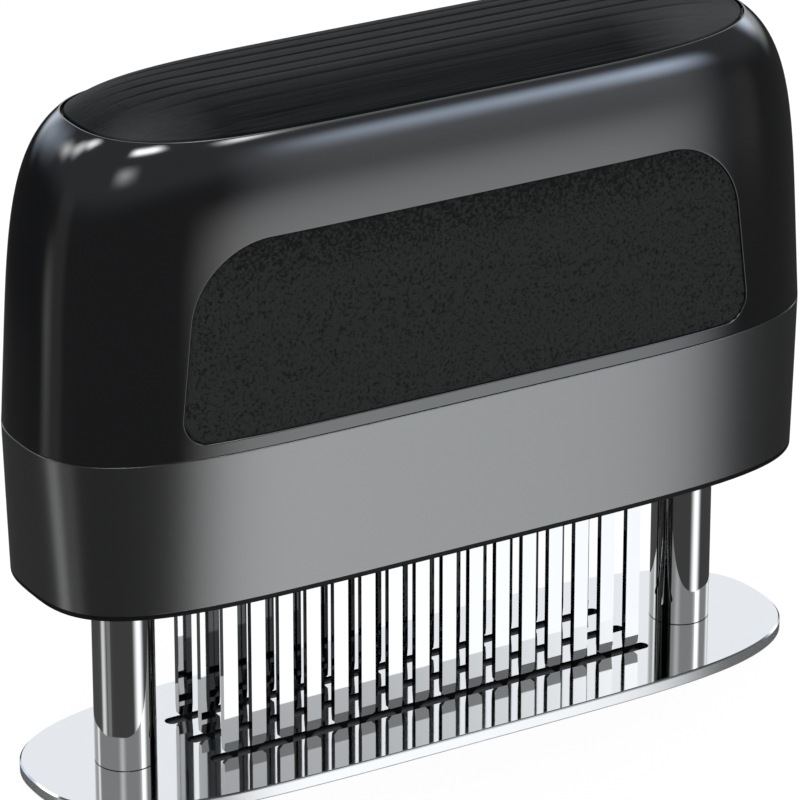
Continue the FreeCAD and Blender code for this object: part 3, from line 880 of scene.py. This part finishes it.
def plate_material():
    """Polished steel. The plate's edge is ground rough and dull and coloured paler, a painted highlight,
    with a fine dark line above it in front that is a painted reflection, and the insides of the blade
    slots are coloured dark as painted shade."""
    color = (0.63, 0.64, 0.65)
    # painted highlight: the ground edge is rough and dull, and its paler colour brightens it beyond that
    ground_and_highlight_color = (0.73, 0.74, 0.75)
    # painted shade and painted reflection: this dark colour is painted into the slots' insides and the
    # line under the front rim
    dark = (0.03, 0.03, 0.032)
    roughness = 0.05
    ground_roughness = 0.22
    ground_dullness = 0.15
    shader = Shader("polished_steel", color, roughness, metallic=1.0)
    x, y, z = shader.axes()
    # painted shade: the insides of the blade slots, found here, are coloured dark for the shade in them
    beside = shader.math("LESS_THAN", shader.away(x), SLOT_HALF_LENGTH + SLOT_MARGIN)
    across = shader.math("LESS_THAN", shader.away(y), SLOT_HALF_REACH + SLOT_MARGIN)
    inside = shader.between(z, SLOT_SHADE_START, PLATE_THICKNESS - SLOT_SHADE_START)
    walls = shader.math("MULTIPLY", shader.math("MULTIPLY", beside, across), inside)
    edge = shader.math("LESS_THAN", z, PLATE_THICKNESS - PLATE_CHAMFER)
    # painted reflection: a fine dark line under the front rim, fading towards the ends, stands in for
    # the dark reflection in it
    rim_reflection_band = shader.between(z, PLATE_THICKNESS - RIM_REFLECTION_BOTTOM, PLATE_THICKNESS - RIM_REFLECTION_TOP)
    line = shader.math("MULTIPLY", rim_reflection_band, shader.spread(shader.away(x), *RIM_REFLECTION_FADE, 1.0, 0.0))
    # painted highlight: the edge below the chamfer takes the paler colour
    bare = shader.mix_colors(edge, color, ground_and_highlight_color)
    shader.blend_colors(shader.math("MAXIMUM", walls, line), bare, dark)
    polish = shader.spread(shader.noise(0.08, 3.0, 0.6), *NOISE_RANGE, *times(roughness, POLISH_RANGE))
    rough = shader.math("MAXIMUM", polish, shader.math("MULTIPLY", edge, ground_roughness))
    shader.feed(shader.principled["Roughness"], rough)
    dulled = shader.math("MULTIPLY", edge, ground_dullness)
    shader.feed(shader.principled["Metallic"], shader.math("SUBTRACT", 1.0, dulled))
    shader.bump(shader.noise(0.5), 0.0003)
    return shader.material


def plastic_material(name, color, roughness, specular=0.5):
    """Plain moulding, faintly mottled."""
    shader = Shader(name, color, roughness, specular=specular)
    mottle = shader.noise(1.2, 3.0)
    shader.vary_color(mottle, color, MOULDING_UNEVENNESS)
    shader.vary_roughness(mottle, *times(roughness, MOULDING_RANGE))
    shader.bump(shader.noise(5.0), 0.004)
    return shader.material


def finish_node(name, material):
    """Give a solid that stays in view its material."""
    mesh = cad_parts[name].data
    mesh.materials.clear()
    mesh.materials.append(material)


# Light, floor and camera


def grey(level, blue=0.0):
    """A grey at a level, or a slightly bluer one."""
    return (level, level * (1 + 0.4 * blue), level * (1 + blue))


class Sky(NodeTree):
    """The world's nodes. Its light is plain for the object's own colours, white behind the object as the
    camera sees it, and shows soft boxes where gloss and metal reflect it."""

    def __init__(self):
        world = bpy.data.worlds.new("studio")
        bpy.context.scene.world = world
        world.use_nodes = True
        world.cycles.sampling_method = "NONE"
        super().__init__(world.node_tree)
        self.nodes.clear()
        parts = self.nodes.new("ShaderNodeSeparateXYZ")
        self.feed(parts.inputs["Vector"], self.nodes.new("ShaderNodeTexCoord").outputs["Generated"])
        x, y, z = parts.outputs
        self.azimuth = self.math("DEGREES", self.math("ARCTAN2", x, self.math("MULTIPLY", y, -1.0)))
        self.elevation = self.math("DEGREES", self.math("ARCSINE", z))
        self.total = None

    def ramp(self, value, start, end):
        """0 up to start and 1 from end on, or the other way round where end is the lower."""
        low, high = sorted((start, end))
        last = 1.0 if start < end else 0.0
        return self.spread(value, low, high, 1.0 - last, last, "SMOOTHSTEP")

    def vector(self, operation, first):
        """A Vector Math node with its first input fed."""
        node = self.nodes.new("ShaderNodeVectorMath")
        node.operation = operation
        self.feed(node.inputs[0], first)
        return node

    def soft_box(self, color, azimuth, across, heights, fades):
        """Lit patch round an azimuth. across is half its width and how softly its sides end, heights
        are its lowest and highest elevation, and fades say how softly it ends there."""
        half_width, softness = across
        low, high = heights
        low_fade, high_fade = fades
        turned = self.math("WRAP", self.math("SUBTRACT", self.azimuth, azimuth), 180.0, -180.0)
        beside = self.ramp(self.math("ABSOLUTE", turned), half_width + softness, half_width - softness)
        above = self.ramp(self.elevation, low - low_fade, low + low_fade)
        below = self.ramp(self.elevation, high + high_fade, high - high_fade)
        light = self.vector("SCALE", color)
        amount = self.math("MULTIPLY", self.math("MULTIPLY", beside, above), below)
        self.feed(light.inputs["Scale"], amount)
        if self.total is None:
            self.total = light.outputs["Vector"]
        else:
            total = self.vector("ADD", self.total)
            self.feed(total.inputs[1], light.outputs["Vector"])
            self.total = total.outputs["Vector"]

    def haze(self):
        """Light low above the horizon, strongest in front on the right, and less of it higher up."""
        start = self.ramp(self.elevation, *HAZE_START)
        low = self.ramp(self.elevation, *HAZE_LOW_END)
        from_left = self.ramp(self.azimuth, *HAZE_RIGHT_START)
        right = self.math("MULTIPLY", from_left, self.ramp(self.azimuth, *HAZE_RIGHT_END))
        low_level = self.math("ADD", self.math("MULTIPLY", right, HAZE_RIGHT_LEVEL), HAZE_LOW_LEVEL)
        level = self.math("ADD", self.math("MULTIPLY", low, low_level), HAZE_LEVEL)
        return self.math("MULTIPLY", start, level)

    def evened(self, high_share, low_share, haze_share, least):
        """The sky's light without its tint: one share of it above the horizon and another below, with
        a share of the haze and a least light."""
        plain_light = self.nodes.new("ShaderNodeRGBToBW")
        self.feed(plain_light.inputs["Color"], self.total)
        above = self.ramp(self.elevation, *HORIZON)
        kept = self.math("ADD", self.math("MULTIPLY", above, high_share - low_share), low_share)
        lit = self.math("MULTIPLY", plain_light.outputs["Val"], kept)
        haze = self.math("MULTIPLY", self.haze(), haze_share)
        return self.math("ADD", self.math("ADD", lit, haze), least)

    def finish(self):
        """Light seen in a second reflection is evened out above the horizon and faint below it, and
        from the third reflection on, as in deep gaps, little of it is left."""
        rays = self.nodes.new("ShaderNodeLightPath").outputs
        second = self.math("GREATER_THAN", rays["Ray Depth"], SECOND_REFLECTION)
        third = self.math("GREATER_THAN", rays["Ray Depth"], THIRD_REFLECTION)
        second_light = self.evened(high_share=0.5, low_share=0.15, haze_share=1.0, least=0.025)
        third_light = self.evened(high_share=0.05, low_share=0.08, haze_share=0.08, least=0.04)
        color = self.mix_colors(second, self.total, second_light)
        color = self.mix_colors(third, color, third_light)
        mirrored = self.math("MAXIMUM", rays["Is Glossy Ray"], rays["Is Transmission Ray"])
        color = self.mix_colors(mirrored, grey(PLAIN_LEVEL), color)
        color = self.mix_colors(rays["Is Camera Ray"], color, grey(1.0))
        background = self.nodes.new("ShaderNodeBackground")
        self.feed(background.inputs["Color"], color)
        output = self.nodes.new("ShaderNodeOutputWorld")
        self.feed(output.inputs["Surface"], background.outputs["Background"])


def studio_sky():
    """Soft boxes for the highlights and the bright faces that the photograph shows."""
    sky = Sky()
    # faint light from everywhere, and a little more in front, from below on the left, from both
    # sides and from above
    sky.soft_box(grey(0.03), 0.0, ALL_ROUND, ALL_HEIGHTS, HARD_ENDS)
    sky.soft_box(grey(0.035), 0.0, (125.0, 20.0), ALL_HEIGHTS, HARD_ENDS)
    sky.soft_box(grey(0.05), -140.0, (60.0, 20.0), heights=(-91.0, -21.0), fades=(1.0, 3.0))
    sky.soft_box(grey(0.09), -104.0, (10.0, 6.0), heights=(-30.0, 12.0), fades=(4.0, 6.0))
    sky.soft_box(grey(0.09), 58.0, (8.0, 6.0), heights=(-17.0, 4.0), fades=(2.0, 6.0))
    sky.soft_box(grey(0.11, 0.25), 0.0, ALL_ROUND, heights=(10.0, 91.0), fades=(10.0, 1.0))
    # broad low box in front on the right, which the front faces reflect, and its fading upper part
    sky.soft_box(grey(1.1), 26.0, (13.0, 10.0), heights=(-80.0, -11.0), fades=(5.0, 10.0))
    sky.soft_box(grey(0.46, 0.12), 33.0, (12.0, 9.0), heights=(-80.0, 29.0), fades=(5.0, 13.0))
    # white background behind, brightest beside the object
    sky.soft_box(grey(1.06, 0.04), 141.5, (42.0, 10.0), heights=(3.0, 75.0), fades=(7.0, 10.0))
    sky.soft_box(grey(1.1, 0.4), -177.0, (10.0, 12.0), heights=(3.0, 22.0), fades=(7.0, 8.0))
    sky.soft_box(grey(0.9, 0.4), -160.0, (9.0, 9.0), heights=(12.0, 28.0), fades=(8.0, 8.0))
    sky.soft_box(grey(1.75, 0.45), 105.0, (10.0, 10.0), heights=(14.0, 28.0), fades=(7.0, 6.0))
    # a low box behind as well, for views from there
    sky.soft_box(grey(1.3), 150.0, (7.0, 6.0), heights=(-80.0, -12.0), fades=(5.0, 10.0))
    # narrow upright boxes on the left
    sky.soft_box(grey(0.75), -108.0, (8.0, 6.0), heights=(-34.0, -24.0), fades=(4.0, 3.0))
    sky.soft_box(grey(0.35), -118.0, (5.0, 6.0), heights=(-20.0, -10.0), fades=(3.0, 8.0))
    sky.soft_box(grey(0.15), -84.0, (7.0, 2.0), heights=(-60.0, -21.0), fades=(5.0, 3.0))
    # overhead in front, for the fine edges
    sky.soft_box(grey(6.0), 50.0, (18.0, 8.0), heights=(63.0, 78.0), fades=(5.0, 5.0))
    sky.soft_box(grey(1.1), 50.0, (12.0, 8.0), heights=(50.0, 60.0), fades=(4.0, 4.0))
    # strip in front on the right, along the shoulder
    sky.soft_box(grey(2.35, 0.55), 39.0, (9.0, 9.0), heights=(17.5, 28.0), fades=(7.0, 6.0))
    # lamps that catch the shoulder and the rim
    sky.soft_box(grey(11.0), -25.0, (17.0, 9.0), heights=(57.0, 65.0), fades=(4.0, 4.0))
    sky.soft_box(grey(7.0), 28.0, (5.0, 6.0), heights=(43.0, 49.0), fades=(3.0, 3.0))
    sky.soft_box(grey(0.6), 40.0, (12.0, 10.0), heights=(41.0, 49.0), fades=(4.0, 3.0))
    sky.soft_box(grey(3.6), -143.5, (5.0, 7.0), heights=(23.0, 31.0), fades=(6.0, 6.0))
    sky.soft_box(grey(3.8), -134.0, (6.0, 6.0), heights=(32.0, 45.0), fades=(6.0, 4.0))
    sky.soft_box(grey(6.5), -130.0, (7.0, 6.0), heights=(46.0, 57.0), fades=(4.0, 5.0))
    sky.soft_box(grey(2.1), -40.0, (8.0, 9.0), heights=(27.0, 39.0), fades=(8.0, 7.0))
    sky.finish()


def studio_floor():
    """Pale floor at the plate's underside. Mirrors see past it, to the sky's own boxes."""
    half = FLOOR_HALF_SIZE
    mesh = bpy.data.meshes.new("studio_floor")
    corners = [(-half, -half, 0.0), (half, -half, 0.0), (half, half, 0.0), (-half, half, 0.0)]
    mesh.from_pydata(corners, [], [(0, 1, 2, 3)])
    floor = bpy.data.objects.new("studio_floor", mesh)
    bpy.context.scene.collection.objects.link(floor)
    floor.visible_glossy = False
    shader = Shader("studio_floor", grey(0.9), 0.9, specular=0.0)
    shader.blend_colors(shader.noise(0.002), grey(0.89), grey(0.91))
    glow = shader.nodes.new("ShaderNodeEmission")
    glow.inputs["Strength"].default_value = FLOOR_GLOW
    rays = shader.nodes.new("ShaderNodeLightPath")
    mix = shader.nodes.new("ShaderNodeMixShader")
    glow_share = shader.math("MULTIPLY", rays.outputs["Is Camera Ray"], FLOOR_GLOW_SHARE)
    shader.feed(mix.inputs["Fac"], glow_share)
    shader.feed(mix.inputs[1], shader.nodes["Principled BSDF"].outputs["BSDF"])
    shader.feed(mix.inputs[2], glow.outputs["Emission"])
    shader.feed(shader.nodes["Material Output"].inputs["Surface"], mix.outputs["Shader"])
    mesh.materials.append(shader.material)


def photo_camera():
    """The camera, which looks at the part as the photograph's did."""
    data = bpy.data.cameras.new("photo_camera")
    data.sensor_width = SENSOR_WIDTH
    data.lens = LENS
    data.clip_start = CLIP_START
    data.clip_end = CLIP_END
    azimuth = math.radians(CAMERA_AZIMUTH)
    elevation = math.radians(CAMERA_ELEVATION)
    back = Vector((
        math.sin(azimuth) * math.cos(elevation),
        -math.cos(azimuth) * math.cos(elevation),
        math.sin(elevation),
    ))
    camera = bpy.data.objects.new("photo_camera", data)
    bpy.context.scene.collection.objects.link(camera)
    camera.location = (Vector(CAMERA_TARGET) + back * CAMERA_DISTANCE) * MM
    camera.rotation_euler = back.to_track_quat("Z", "Y").to_euler()
    bpy.context.scene.camera = camera


# The whole scene

bpy.context.scene.view_settings.view_transform = "Standard"
photo_camera()
studio_sky()
studio_floor()

panel_finish = grain_panel_material()
spring_steel = steel_material("spring_steel", (0.50, 0.50, 0.51), 0.25, 1.0)
screw_steel = steel_material("screw_steel", (0.60, 0.60, 0.61), 0.2, 1.0)
chrome = steel_material("chrome_post", (0.65, 0.655, 0.66), 0.03, (0.2, 0.2, 0.05), 0.01)
blade_steel = steel_material("blade_steel", (0.62, 0.63, 0.64), 0.035, (0.5, 0.5, 0.2), 0.01)
frame_plastic = plastic_material("frame_plastic", (0.006, 0.006, 0.0065), 0.35, 0.12)
bush_plastic = plastic_material("bush_plastic", (0.60, 0.60, 0.57), 0.4)
carrier_plastic = plastic_material("carrier_plastic", (0.05, 0.05, 0.055), 0.5)

upper_shell(gloss_shell_material())
top_grip_insert(soft_grip_material())
grip_panel("front_grain_panel", -1, panel_finish, "front_grip_panel")
grip_panel("rear_grain_panel", 1, panel_finish, "rear_grip_panel")
lower_band(gunmetal_material())
return_spring("left_coil", -POST_X, spring_steel, "left_spring")
return_spring("right_coil", POST_X, spring_steel, "right_spring")

finish_node("base_plate", plate_material())
for side in ("left", "right"):
    finish_node(side + "_post", chrome)
    finish_node(side + "_retaining_ring", spring_steel)
    finish_node(side + "_guide_bush", bush_plastic)
    finish_node(side + "_spring_guide", bush_plastic)
for row in ("front", "middle", "rear"):
    finish_node(row + "_blade_row", blade_steel)
for name in ("post_screws", "blade_pins", "carrier_screws", "housing_screws"):
    finish_node(name, screw_steel)
finish_node("lower_frame", frame_plastic)
finish_node("blade_carrier", carrier_plastic)
